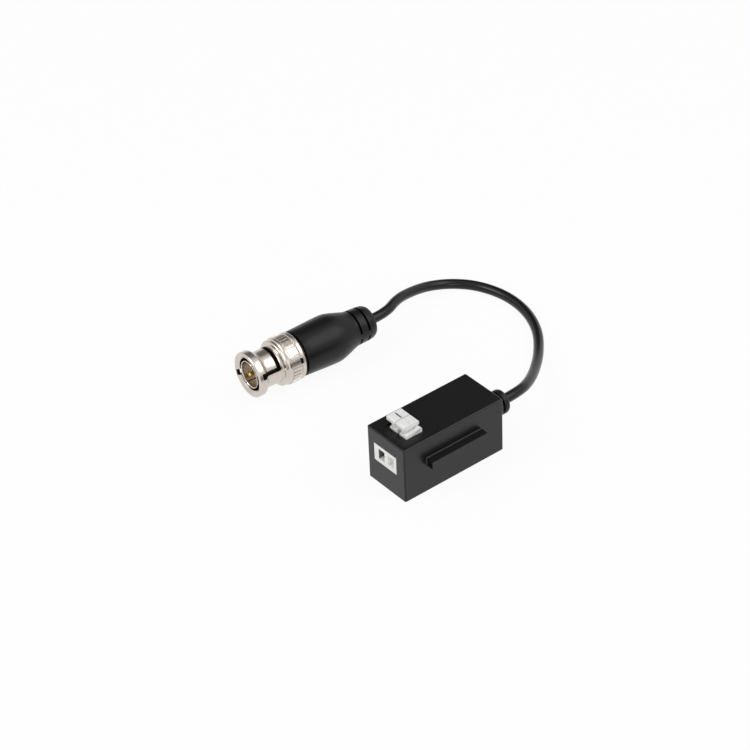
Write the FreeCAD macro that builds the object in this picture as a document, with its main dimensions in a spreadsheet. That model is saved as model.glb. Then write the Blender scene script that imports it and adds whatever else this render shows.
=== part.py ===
import FreeCAD, Part
import math
import os
import re
import Sketcher
from FreeCAD import Placement, Rotation, Vector

# Passive video balun: a small plastic box with a two-pole push-lever terminal in its front,
# and a short coaxial lead that ends in a bayonet plug. Millimetres, +Z up. The origin is the
# middle of the box's underside. The wire entries face -Y, the lead leaves at +Y, and the box,
# the lead and the plug all lie on the plane Z = 0.

SIZES = {
    # Box
    "box_width": 16.9,
    "box_length": 37.7,
    "box_height": 18.8,
    "wall": 1.2,
    "roof": 1.3,
    "edge_round": 0.5,
    "base_thick": 1.5,
    "base_gap": 0.1,
    # Spacing rail on the right side
    "rail_reach": 2.7,
    "rail_height": 3.0,
    "rail_length": 21.0,
    "rail_start": 8.3,
    "rail_low": 9.2,
    "rail_draft": 0.25,
    "rail_fillet": 0.35,
    # Circuit board and what stands on it
    "board_thick": 1.6,
    "board_gap": 0.45,
    "board_start": 2.2,
    "post_radius": 1.1,
    "post_inset": 1.6,
    "core_outer": 4.4,
    "core_inner": 2.1,
    "core_height": 4.2,
    "core_place": 16.2,
    "winding_thick": 0.5,
    "winding_angle": 110.0,
    "arrester_radius": 1.7,
    "arrester_length": 6.0,
    "arrester_place": 7.2,
    # Terminal block
    "terminal_width": 10.1,
    "terminal_shift": -0.4,
    "nose_low": 7.94,
    "nose_height": 6.1,
    "nose_depth": 4.2,
    "tower_depth": 10.2,
    "tower_gap": 0.3,
    "tower_sill": 2.2,
    "window_gap": 0.12,
    "pole_pitch": 4.2,
    "bay_shift": 0.1,
    "bay_width": 3.0,
    "bay_low": 1.1,
    "bay_back": 0.8,
    "entry_width": 2.7,
    "entry_shift": 0.35,
    "entry_height": 3.6,
    "entry_lift": 1.36,
    "entry_depth": 1.6,
    "wire_radius": 1.0,
    "wire_length": 2.0,
    "cheek_front": 0.95,
    "cheek_top": 1.45,
    "lug_radius": 0.7,
    "lug_side": 0.6,
    # Push levers
    "pivot_depth": 8.8,
    "pivot_lift": 1.2,
    "pin_radius": 0.5,
    "pin_gap": 0.05,
    "hub_radius": 1.1,
    "hub_gap": 0.15,
    "lever_width": 3.8,
    "lever_shift": -0.3,
    "lever_start": 4.3,
    "lever_end": 10.0,
    "lever_lift": 3.35,
    "lever_thick": 1.35,
    "lever_nick": 0.3,
    "grip_first": 3.0,
    "grip_second": 4.45,
    "grip_width": 0.5,
    "grip_depth": 0.25,
    "web_width": 1.7,
    "web_shift": 0.5,
    "web_start": 5.0,
    "web_low": 1.2,
    # Clamp springs and contact bars
    "strip_thick": 0.3,
    "strip_width": 2.2,
    "bar_thick": 0.6,
    "solder_radius": 0.45,
    "solder_gap": 0.15,
    "solder_length": 2.6,
    # Gland behind the box
    "gland_height": 9.7,
    "gland_neck": 3.0,
    "gland_outer": 4.1,
    "gland_end": 3.9,
    "gland_groove": 3.1,
    "gland_first": 4.3,
    "gland_cut": 0.8,
    "gland_reach": 7.3,
    "gland_flange": 4.0,
    "gland_flange_thick": 1.2,
    "gland_gap": 0.05,
    # Lead
    "cord_radius": 1.65,
    "exit_run": 6.4,
    # Plug: place of the middle of its mating face, and the turn of its axis from +Y
    "plug_front_side": -62.846,
    "plug_front_depth": -22.629,
    "plug_turn": 2.93,
    # Coupling nut, lengths counted back from its rim
    "rim_radius": 7.45,
    "rim_thick": 2.5,
    "rim_chamfer": 0.35,
    "flare_length": 1.4,
    "barrel_radius": 6.0,
    "shoulder_start": 9.4,
    "shoulder_radius": 7.5,
    "collar_start": 11.3,
    "collar_radius": 7.8,
    "nut_length": 17.1,
    "nut_bore": 5.05,
    "mouth_radius": 6.6,
    "mouth_depth": 1.5,
    "washer_seat": 12.5,
    "nut_cavity": 6.2,
    "nut_lip": 1.4,
    "rib_count": 38,
    "rib_groove": 0.5,
    "rib_depth": 0.3,
    "rib_start": 11.9,
    "rib_end": 15.0,
    "notch_width": 2.0,
    "notch_lip": 0.5,
    "notch_end": 2.7,
    "slot_width": 1.1,
    "slot_back": 8.25,
    "slot_sweep": 112.0,
    "slot_angle": -20.0,
    "mark_width": 1.9,
    "mark_length": 0.9,
    "mark_depth": 0.6,
    # Inner pieces of the plug
    "sleeve_outer": 4.4,
    "sleeve_inner": 4.0,
    "sleeve_start": 0.5,
    "sleeve_slit": 0.35,
    "sleeve_slit_length": 5.0,
    "insulator_start": 4.3,
    "insulator_gap": 0.05,
    "contact_radius": 0.675,
    "contact_start": 0.5,
    "contact_bore_gap": 0.03,
    "hub_start": 10.9,
    "turning_gap": 0.07,
    "flange_radius": 5.9,
    "flange_start": 13.9,
    "flange_thick": 1.3,
    "tail_radius": 4.0,
    "tail_length": 4.5,
    "washer_thick": 0.45,
    "gasket_thick": 0.8,
    "ferrule_radius": 3.2,
    "ferrule_wall": 0.45,
    "ferrule_length": 8.0,
    # Boot
    "boot_start": 17.9,
    "boot_end": 46.14,
    "boot_front": 7.5,
    "boot_radius": 8.1,
    "taper_length": 8.2,
    "tail_rings": 7.44,
    "neck_radius": 5.7,
    "ring_radius": 5.5,
    "ring_thick": 2.4,
    "tail_ring_radius": 5.2,
    "groove_width": 0.8,
    "groove_radius": 4.5,
    "bridge_width": 1.6,
    "boot_gap": 0.05,
    "boot_round": 0.5,
    "end_round": 1.3,
}

# Corners of the lead's route between its two straight exits, gland first: x, y and the rise of
# its middle above where it lies on the plane Z = 0.
ROUTE = [
    (-4.3, 40.6, 5.45),
    (-10.6, 48.6, 2.65),
    (-18.2, 57.0, 0.55),
    (-27.8, 65.2, 0.0),
    (-38.6, 69.7, 0.0),
    (-49.4, 70.4, 0.0),
    (-59.4, 67.2, 0.0),
    (-65.6, 61.7, 0.15),
    (-68.2, 54.6, 1.25),
    (-67.4, 47.1, 3.25),
    (-64.7, 38.0, 5.65),
]

doc = FreeCAD.newDocument("VideoBalun")

# Driving dimensions
sheet = doc.addObject("Spreadsheet::Sheet", "Sizes")
for row, (alias, size) in enumerate(SIZES.items(), 1):
    sheet.set(f"A{row}", alias)
    sheet.set(f"B{row}", str(size))
    sheet.setAlias(f"B{row}", alias)
doc.recompute()

subparts = []


def bound(text):
    """The expression with each size's name pointing at its cell."""
    def cell(word):
        return f"Sizes.{word.group()}" if word.group() in SIZES else word.group()

    return re.sub(r"\b[a-z]\w*", cell, text)


def number(text):
    """The value of an expression of the sheet's sizes."""
    return float(sheet.evalExpression(bound(text)))


def tie(item, **expressions):
    """Bind properties of an object to expressions of the sheet's sizes."""
    for name, text in expressions.items():
        item.setExpression(name, bound(text))


def move(item, x="0", y="0", z="0"):
    """Bind the place of an object to expressions of the sheet's sizes."""
    for axis, text in (("x", x), ("y", y), ("z", z)):
        item.setExpression(f"Placement.Base.{axis}", bound(text))


def keep(item, label):
    """Name a finished sub-part."""
    item.Label = label
    subparts.append(item)
    return item


def draw_loop(sketch, corners):
    """Add a closed outline whose corners are bound to the sheet."""
    first = sketch.GeometryCount
    points = [Vector(number(u), number(v), 0) for u, v in corners]
    count = len(points)
    for index in range(count):
        sketch.addGeometry(Part.LineSegment(points[index], points[(index + 1) % count]))
    for index in range(count):
        after = first + (index + 1) % count
        sketch.addConstraint(Sketcher.Constraint("Coincident", first + index, 2, after, 1))
    for index, corner in enumerate(corners):
        for kind, text in zip(("DistanceX", "DistanceY"), corner):
            rule = sketch.addConstraint(Sketcher.Constraint(kind, -1, 1, first + index, 1, number(text)))
            sketch.setExpression(f"Constraints[{rule}]", bound(text))


def draw_circle(sketch, radius, height):
    """Add a circle on the sketch's upright axis, bound to the sheet."""
    middle = Vector(0, number(height), 0)
    ring = sketch.addGeometry(Part.Circle(middle, Vector(0, 0, 1), number(radius)))
    sketch.addConstraint(Sketcher.Constraint("PointOnObject", ring, 3, -2))
    for kind, ends, text in (("DistanceY", (-1, 1, ring, 3), height), ("Radius", (ring,), radius)):
        rule = sketch.addConstraint(Sketcher.Constraint(kind, *ends, number(text)))
        sketch.setExpression(f"Constraints[{rule}]", bound(text))


def body_sketch(body, role, *loops):
    """A sketch on one of the body's own origin planes."""
    sketch = body.newObject("Sketcher::SketchObject", "Sketch")
    plane = next(item for item in body.Origin.OriginFeatures if item.Role == role)
    sketch.AttachmentSupport = [(plane, "")]
    sketch.MapMode = "FlatFace"
    for loop in loops:
        draw_loop(sketch, loop)
    doc.recompute()
    return sketch


def rectangle(left, right, low, high):
    """Corners of an upright rectangle, as expressions."""
    return [(left, low), (right, low), (right, high), (left, high)]


def box(x0, x1, y0, y1, z0, z1):
    """A block between two corners given as expressions."""
    block = doc.addObject("Part::Box", "Block")
    tie(block, Length=f"({x1}) - ({x0})", Width=f"({y1}) - ({y0})", Height=f"({z1}) - ({z0})")
    move(block, x0, y0, z0)
    return block


def rod(radius, length, turn, x, y, z):
    """A cylinder that starts at a point and runs along its turned axis."""
    cylinder = doc.addObject("Part::Cylinder", "Rod")
    cylinder.Placement = Placement(Vector(), turn)
    tie(cylinder, Radius=radius, Height=length)
    move(cylinder, x, y, z)
    return cylinder


def prism(corners, x0, x1):
    """An outline in Y and Z, carried across from x0 to x1."""
    sketch = doc.addObject("Sketcher::SketchObject", "Outline")
    sketch.Placement = Placement(Vector(), ALONG_Y_Z)
    draw_loop(sketch, corners)
    move(sketch, x0)
    solid = doc.addObject("Part::Extrusion", "Prism")
    solid.Base = sketch
    solid.DirMode = "Normal"
    solid.Solid = True
    tie(solid, LengthFwd=f"({x1}) - ({x0})")
    return solid


def fuse(*items):
    """The union of several objects."""
    union = doc.addObject("Part::MultiFuse", "Union")
    union.Shapes = list(items)
    return union


def cut(base, *tools):
    """A base with tools taken out of it."""
    result = doc.addObject("Part::Cut", "Cut")
    result.Base = base
    result.Tool = fuse(*tools) if len(tools) > 1 else tools[0]
    return result


def turned(label, *loops, angle=None):
    """A body turned about its own Z axis from outlines in radius and height."""
    body = doc.addObject("PartDesign::Body", "Body")
    sketch = body_sketch(body, "XZ_Plane", *loops)
    revolution = body.newObject("PartDesign::Revolution", "Revolution")
    revolution.Profile = sketch
    revolution.ReferenceAxis = (sketch, ["V_Axis"])
    if angle is None:
        revolution.Angle = 360
    else:
        tie(revolution, Angle=angle)
    doc.recompute()
    return keep(body, label)


def circle_edges(feature, places):
    """Names of a feature's round edges at the given (radius, height) expressions."""
    wanted = [(number(radius), number(height)) for radius, height in places]
    names = []
    for index, edge in enumerate(feature.Shape.Edges, 1):
        if not isinstance(edge.Curve, Part.Circle):
            continue
        found = (edge.Curve.Radius, edge.Curve.Center.z)
        if any(abs(found[0] - r) < 0.01 and abs(found[1] - h) < 0.01 for r, h in wanted):
            names.append(f"Edge{index}")
    return names


def round_circles(body, radius, *places):
    """Round the round edges of a turned body at the given places."""
    base = body.Tip
    fillet = body.newObject("PartDesign::Fillet", "Fillet")
    fillet.Base = (base, circle_edges(base, places))
    tie(fillet, Radius=radius)
    doc.recompute()


def remove(body, cutter, before):
    """Recompute after a cutting feature, and stop if it took nothing away."""
    doc.recompute()
    if body.Shape.Volume > before - 0.01:
        raise RuntimeError(f"{cutter.Name} of {body.Label} cuts nothing")
    return cutter


def pocket(body, role, length, *loops, offset="0", reversed_way=False, circle=None):
    """Cut outlines, or a circle given as radius and height, into a body."""
    before = body.Shape.Volume
    sketch = body_sketch(body, role, *loops)
    if circle:
        draw_circle(sketch, *circle)
    sketch.setExpression("AttachmentOffset.Base.z", bound(offset))
    cutter = body.newObject("PartDesign::Pocket", "Pocket")
    cutter.Profile = sketch
    cutter.Reversed = reversed_way
    tie(cutter, Length=length)
    return remove(body, cutter, before)


def polar(body, feature, count, angle=360):
    """Repeat a feature round the body's Z axis, over a full turn or a part of one."""
    axis = next(item for item in body.Origin.OriginFeatures if item.Role == "Z_Axis")
    pattern = body.newObject("PartDesign::PolarPattern", "Pattern")
    pattern.Originals = [feature]
    pattern.Axis = (axis, [""])
    pattern.Angle = angle
    tie(pattern, Occurrences=count)
    body.Tip = pattern
    doc.recompute()


ALONG_Y_Z = Rotation(Vector(1, 1, 1), 120)
ALONG_X = Rotation(Vector(0, 1, 0), 90)
ALONG_Y = Rotation(Vector(1, 0, 0), -90)
UPRIGHT = Rotation()

# Places that several pieces share
FRONT = "-box_length / 2"
REAR = "box_length / 2"
BOARD_TOP = "nose_low"
BOARD_LOW = "nose_low - board_thick"
BOARD_SIDE = "box_width / 2 - wall - board_gap"
BOARD_FRONT = "board_start - box_length / 2"
BOARD_REAR = "box_length / 2 - wall - gland_flange_thick - board_gap"
TOWER_TOP = "box_height - roof - tower_gap"
TOWER_BACK = f"{FRONT} + tower_depth"
BLOCK_LEFT = "terminal_shift - terminal_width / 2"
BLOCK_RIGHT = "terminal_shift + terminal_width / 2"
PIVOT_Y = f"{FRONT} + pivot_depth"
PIVOT_Z = "box_height + pivot_lift"
ENTRY_Z = "nose_low + entry_lift + entry_height / 2"
SIDES = {"left": "-1", "right": "1"}


def bay_middle(side):
    """Middle of a terminal bay, across the box."""
    return f"(terminal_shift + bay_shift + {SIDES[side]} * pole_pitch / 2)"


BAY_LEFT = f"{bay_middle('left')} - bay_width / 2"


# Housing
def on_side(bounds, side, ends, heights):
    """Whether an edge lies on the side wall within the given ends and heights."""
    near = 0.01
    flat = abs(bounds.XMin - side) < near and abs(bounds.XMax - side) < near
    within = bounds.YMin > ends[0] - near and bounds.YMax < ends[1] + near
    return flat and within and bounds.ZMin > heights[0] - near and bounds.ZMax < heights[1] + near


def make_cover():
    """Four walls and a roof, open below, with windows for the terminal and the gland."""
    body = doc.addObject("PartDesign::Body", "Body")
    outside = rectangle("-box_width / 2", "box_width / 2", FRONT, REAR)
    pad = body.newObject("PartDesign::Pad", "Pad")
    pad.Profile = body_sketch(body, "XY_Plane", outside)
    tie(pad, Length="box_height")
    doc.recompute()
    half = number("box_height / 2")
    upper = [f"Edge{i}" for i, edge in enumerate(pad.Shape.Edges, 1) if edge.BoundBox.ZMax > half]
    fillet = body.newObject("PartDesign::Fillet", "Fillet")
    fillet.Base = (pad, upper)
    tie(fillet, Radius="edge_round")
    doc.recompute()
    inside = rectangle("wall - box_width / 2", "box_width / 2 - wall", f"{FRONT} + wall", f"{REAR} - wall")
    pocket(body, "XY_Plane", "box_height - roof", inside, reversed_way=True)
    nose = rectangle(f"{BLOCK_LEFT} - window_gap", f"{BLOCK_RIGHT} + window_gap",
                     "nose_low - window_gap", "nose_low + nose_height + window_gap")
    pocket(body, "XZ_Plane", "2 * wall", nose, offset="box_length / 2 + wall / 2")
    top = rectangle(f"{BAY_LEFT} - lug_side - window_gap", f"{BLOCK_RIGHT} + window_gap",
                    f"{FRONT} + nose_depth - window_gap", f"{TOWER_BACK} + window_gap")
    pocket(body, "XY_Plane", "2 * roof", top, offset="box_height + roof / 2")
    pocket(body, "XZ_Plane", "2 * wall", offset="-box_length / 2 - wall / 2", reversed_way=True,
           circle=("gland_neck + gland_gap", "gland_height"))
    rail = body.newObject("PartDesign::Pad", "Rail")
    start = f"{FRONT} + rail_start"
    section = [("box_width / 2 - wall / 2", "rail_low"),
               ("box_width / 2 + rail_reach", "rail_low + rail_draft"),
               ("box_width / 2 + rail_reach", "rail_low + rail_height - rail_draft"),
               ("box_width / 2 - wall / 2", "rail_low + rail_height")]
    sketch = body_sketch(body, "XZ_Plane", section)
    sketch.setExpression("AttachmentOffset.Base.z", bound(f"-({start})"))
    rail.Profile = sketch
    rail.Reversed = True
    tie(rail, Length="rail_length")
    doc.recompute()
    side = number("box_width / 2")
    ends = (number(start), number(f"{start} + rail_length"))
    root = [f"Edge{i}" for i, edge in enumerate(rail.Shape.Edges, 1)
            if on_side(edge.BoundBox, side, ends, (number("rail_low"), number("rail_low + rail_height")))]
    soft = body.newObject("PartDesign::Fillet", "RailRoot")
    soft.Base = (rail, root)
    tie(soft, Radius="rail_fillet")
    doc.recompute()
    return keep(body, "housing_cover")


def make_base():
    """The plate that closes the box from below, with a post under each corner of the board."""
    plate = box("wall + base_gap - box_width / 2", "box_width / 2 - wall - base_gap",
                f"{FRONT} + wall + base_gap", f"{REAR} - wall - base_gap", "0", "base_thick")
    posts = []
    for across in ("-1", "1"):
        for end in (f"{BOARD_FRONT} + post_inset", f"{BOARD_REAR} - post_inset"):
            posts.append(rod("post_radius", f"{BOARD_LOW} - base_thick / 2", UPRIGHT,
                             f"{across} * ({BOARD_SIDE} - post_inset)", end, "base_thick / 2"))
    return keep(fuse(plate, *posts), "housing_base")


# Circuit board
def solder_place(side):
    """Where a contact bar's solder pin goes through the board."""
    return bay_middle(side), f"{TOWER_BACK} - bay_back - bar_thick - solder_radius"


def make_board():
    """The board, drilled for the two solder pins."""
    plate = box(f"-({BOARD_SIDE})", BOARD_SIDE, BOARD_FRONT, BOARD_REAR, BOARD_LOW, BOARD_TOP)
    holes = []
    for side in SIDES:
        x, y = solder_place(side)
        holes.append(rod("solder_radius + solder_gap", "3 * board_thick", UPRIGHT,
                         x, y, f"{BOARD_LOW} - board_thick"))
    return keep(cut(plate, *holes), "circuit_board")


def make_transformer():
    """A ferrite ring lying on the board, with two windings on opposite sides."""
    lift = f"{BOARD_TOP} + winding_thick"
    core = turned("ferrite_core", rectangle("core_inner", "core_outer", "0", "core_height"))
    move(core, "0", f"{REAR} - core_place", lift)
    for name, turn in (("winding_line", 0), ("winding_cable", 180)):
        outer = rectangle("core_inner - winding_thick", "core_outer + winding_thick",
                          "-winding_thick", "core_height + winding_thick")
        inner = rectangle("core_inner", "core_outer", "0", "core_height")
        winding = turned(name, outer, inner, angle="winding_angle")
        winding.Placement = Placement(Vector(), Rotation(Vector(0, 0, 1), turn + number("winding_angle") / 2))
        move(winding, "0", f"{REAR} - core_place", lift)


def make_arrester():
    """A round surge arrester across the board, near the lead."""
    tube = rod("arrester_radius", "arrester_length", ALONG_X, "-arrester_length / 2",
               f"{REAR} - arrester_place", f"{BOARD_TOP} + arrester_radius")
    return keep(tube, "surge_arrester")


# Terminal block
def make_terminal():
    """White block with two wire entries in front and two open bays for levers and springs."""
    profile = [(FRONT, "nose_low"), (TOWER_BACK, "nose_low"), (TOWER_BACK, TOWER_TOP),
               (f"{FRONT} + nose_depth", TOWER_TOP), (f"{FRONT} + nose_depth", "nose_low + nose_height"),
               (FRONT, "nose_low + nose_height")]
    solid = [prism(profile, BLOCK_LEFT, BLOCK_RIGHT)]
    front = f"{FRONT} + nose_depth"
    cheek = [(front, "nose_low + nose_height"), (TOWER_BACK, "nose_low + nose_height"),
             (TOWER_BACK, "box_height + cheek_front"),
             (f"{TOWER_BACK} - lug_radius / 2", "box_height + cheek_top"),
             (f"{PIVOT_Y} - lug_radius", "box_height + cheek_top"), (front, "box_height + cheek_front")]
    lugs = []
    for side in SIDES:
        inner = f"{bay_middle(side)} + bay_width / 2"
        outer = f"{inner} + pole_pitch - bay_width"
        solid.append(prism(cheek, inner, outer))
        lugs.append((inner, outer))
    lugs.append((f"{BAY_LEFT} - lug_side", BAY_LEFT))
    for inner, outer in lugs:
        solid.append(rod("lug_radius", f"({outer}) - ({inner})", ALONG_X, inner, PIVOT_Y, PIVOT_Z))
        solid.append(box(inner, outer, f"{PIVOT_Y} - lug_radius", f"{PIVOT_Y} + lug_radius",
                         "nose_low", PIVOT_Z))
    tools = [rod("pin_radius", "3 * terminal_width", ALONG_X, "-1.5 * terminal_width", PIVOT_Y, PIVOT_Z)]
    bay_front = f"{FRONT} + entry_depth + wire_length"
    for side in SIDES:
        middle = bay_middle(side)
        left = f"{middle} - bay_width / 2"
        right = f"{middle} + bay_width / 2"
        back = f"{TOWER_BACK} - bay_back"
        ceiling = "nose_low + nose_height - bay_low"
        tools.append(box(left, right, bay_front, back, "nose_low + bay_low", ceiling))
        tools.append(box(left, right, f"{front} + bay_back / 2", back, ceiling, "2 * box_height"))
        tools.append(box(left, right, front, back, f"{TOWER_TOP} - tower_sill", "2 * box_height"))
        entry = f"{middle} + entry_shift"
        tools.append(box(f"{entry} - entry_width / 2", f"{entry} + entry_width / 2",
                         f"{FRONT} - wall", f"{FRONT} + entry_depth",
                         f"{ENTRY_Z} - entry_height / 2", f"{ENTRY_Z} + entry_height / 2"))
        tools.append(rod("wire_radius", "entry_depth + wire_length", ALONG_Y, entry, FRONT, ENTRY_Z))
        x, y = solder_place(side)
        tools.append(rod("solder_radius + solder_gap", "3 * bay_low", UPRIGHT, x, y, "nose_low - bay_low"))
    return keep(cut(fuse(*solid), *tools), "terminal_housing")


def make_lever(side):
    """A flat push lever with two grip grooves, a web that reaches down into its bay and a bored hub."""
    middle = bay_middle(side)
    top = "box_height + lever_lift"
    low = "box_height + lever_lift - lever_thick"
    start = f"{FRONT} + lever_start"
    end = f"{FRONT} + lever_end"
    plate = [(start, low), (end, low), (end, f"{top} - lever_nick"), (f"{end} - lever_nick", top),
             (f"{start} + lever_nick", top), (start, f"{top} - lever_nick")]
    middle_height = f"{low} + lever_thick / 2"
    web = [(f"{FRONT} + web_start", "box_height - web_low"), (PIVOT_Y, f"{PIVOT_Z} - hub_radius"),
           (PIVOT_Y, middle_height), (f"{FRONT} + web_start - lever_nick", middle_height),
           (f"{FRONT} + web_start - lever_nick", "box_height")]
    left = f"{middle} + lever_shift - lever_width / 2"
    web_left = f"{middle} + web_shift - web_width / 2"
    hub_left = f"{middle} - bay_width / 2 + hub_gap"
    hub = rod("hub_radius", "bay_width - 2 * hub_gap", ALONG_X, hub_left, PIVOT_Y, PIVOT_Z)
    solid = fuse(prism(plate, left, f"{left} + lever_width"),
                 prism(web, web_left, f"{web_left} + web_width"), hub)
    bore = rod("pin_radius + pin_gap", "2 * lever_width", ALONG_X,
               f"{middle} - lever_width", PIVOT_Y, PIVOT_Z)
    grooves = []
    for place in ("grip_first", "grip_second"):
        edge = f"{start} + {place}"
        grooves.append(box(f"{left} + 2 * lever_nick", f"{left} + lever_width - 2 * lever_nick",
                           edge, f"{edge} + grip_width", f"{top} - grip_depth", f"{top} + lever_nick"))
    return keep(cut(solid, bore, *grooves), f"lever_{side}")


def make_lever_pin():
    """The steel pin that both levers turn on."""
    left = f"{BAY_LEFT} - lug_side"
    right = f"{bay_middle('right')} + bay_width / 2 + pole_pitch - bay_width"
    return keep(rod("pin_radius", f"({right}) - ({left})", ALONG_X, left, PIVOT_Y, PIVOT_Z), "lever_pin")


def make_spring(side):
    """A folded strip that presses a wire against the contact bar."""
    floor = "nose_low + bay_low"
    back = f"{TOWER_BACK} - bay_back - bar_thick - 2 * solder_radius - strip_thick"
    front = f"{FRONT} + nose_depth + bay_back / 2 + strip_thick"
    knee = "box_height - web_low - 3 * strip_thick"
    toe = f"{floor} + 3.5 * strip_thick"
    strip = [(back, floor), (f"{back} + strip_thick", floor),
             (f"{back} + strip_thick", f"{knee} - strip_thick"), (f"{back} - strip_thick", knee),
             (f"{front} + strip_thick", knee), (front, f"{knee} - strip_thick"),
             (front, toe), (f"{front} + strip_thick", toe),
             (f"{front} + strip_thick", f"{knee} - 2 * strip_thick"),
             (f"{front} + 2 * strip_thick", f"{knee} - strip_thick"),
             (f"{back} - 2 * strip_thick", f"{knee} - strip_thick"), (back, f"{knee} - 2 * strip_thick")]
    left = f"{bay_middle(side)} - strip_width / 2"
    return keep(prism(strip, left, f"{left} + strip_width"), f"clamp_spring_{side}")


def make_bar(side):
    """A contact bar against the back of its bay, with a solder pin through the board."""
    floor = "nose_low + bay_low"
    back = f"{TOWER_BACK} - bay_back"
    left = f"{bay_middle(side)} - strip_width / 2"
    x, y = solder_place(side)
    foot = f"{floor} + bar_thick"
    head = f"{TOWER_TOP} - tower_sill"
    angle = [(f"{back} - bar_thick - 2 * solder_radius", floor), (back, floor), (back, head),
             (f"{back} - bar_thick", head), (f"{back} - bar_thick", foot),
             (f"{back} - bar_thick - 2 * solder_radius", foot)]
    bar = prism(angle, left, f"{left} + strip_width")
    pin = rod("solder_radius", "solder_length + bar_thick / 2", UPRIGHT, x, y,
              f"{floor} - solder_length")
    return keep(fuse(bar, pin), f"contact_bar_{side}")


# Gland and lead
def make_gland():
    """The moulded strain relief: a flange inside the wall, a neck through it and two rings behind."""
    wall_in = "-wall"
    flange = f"{wall_in} - gland_flange_thick"
    profile = [("cord_radius", flange), ("gland_flange", flange),
               ("gland_flange", f"{wall_in} - gland_gap"), ("gland_neck", f"{wall_in} - gland_gap"),
               ("gland_neck", "gland_gap"), ("gland_outer", "gland_gap"), ("gland_outer", "gland_first"),
               ("gland_groove", "gland_first"), ("gland_groove", "gland_first + gland_cut"),
               ("gland_end", "gland_first + gland_cut"), ("gland_end", "gland_reach"), ("0", "gland_reach"),
               ("0", "gland_reach - gland_cut"), ("cord_radius", "gland_reach - gland_cut")]
    gland = turned("cable_gland", profile)
    round_circles(gland, "gland_cut / 2", ("gland_outer", "gland_first"),
                  ("gland_end", "gland_first + gland_cut"))
    round_circles(gland, "gland_cut", ("gland_end", "gland_reach"))
    gland.Placement = Placement(Vector(), ALONG_Y)
    move(gland, "0", REAR, "gland_height")


def plug_axis():
    """Unit vector along the plug from its mating face to its lead."""
    turn = math.radians(number("plug_turn"))
    return Vector(math.sin(turn), math.cos(turn), 0)


def plug_front():
    """Middle of the plug's mating face. The widest part of the boot rests on the plane Z = 0."""
    return Vector(number("plug_front_side"), number("plug_front_depth"), number("boot_radius"))


def make_cable():
    """The lead: straight runs joined by arcs as large as the runs allow."""
    leave = Vector(0, number(f"{REAR} + gland_reach"), number("gland_height"))
    arrive = plug_front() + plug_axis() * number("boot_end")
    run = number("exit_run")
    lie = Vector(0, 0, number("cord_radius"))
    points = [leave, leave + Vector(0, run, 0)]
    points += [Vector(*place) + lie for place in ROUTE]
    points += [arrive + plug_axis() * run, arrive]
    edges = []
    start = points[0]
    print("lead: turn in degrees and radius in diameters at each point")
    for before, corner, after in zip(points, points[1:], points[2:]):
        inward = (corner - before).normalize()
        outward = (after - corner).normalize()
        half_turn = inward.getAngle(outward) / 2
        reach = 0.45 * min((corner - before).Length, (after - corner).Length)
        radius = reach / math.tan(half_turn)
        bisector = (outward - inward).normalize()
        middle = corner + bisector * (radius / math.cos(half_turn) - radius)
        arc_start = corner - inward * reach
        arc_end = corner + outward * reach
        edges.append(Part.LineSegment(start, arc_start).toShape())
        edges.append(Part.Arc(arc_start, middle, arc_end).toShape())
        start = arc_end
        print(f"  {math.degrees(2 * half_turn):5.1f}  {radius / number('2 * cord_radius'):5.1f}")
    edges.append(Part.LineSegment(start, points[-1]).toShape())
    path = Part.Wire(edges)
    section = Part.Wire(Part.Circle(leave, Vector(0, 1, 0), number("cord_radius")).toShape())
    tube = path.makePipeShell([section], True, True)
    expected = math.pi * number("cord_radius") ** 2 * path.Length
    print(f"lead: length {path.Length:.1f}, volume {tube.Volume:.1f}, section times length {expected:.1f}")
    cable = doc.addObject("Part::Feature", "Cable")
    cable.Shape = tube
    cable.Placement = Placement()
    return keep(cable, "cable")


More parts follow.
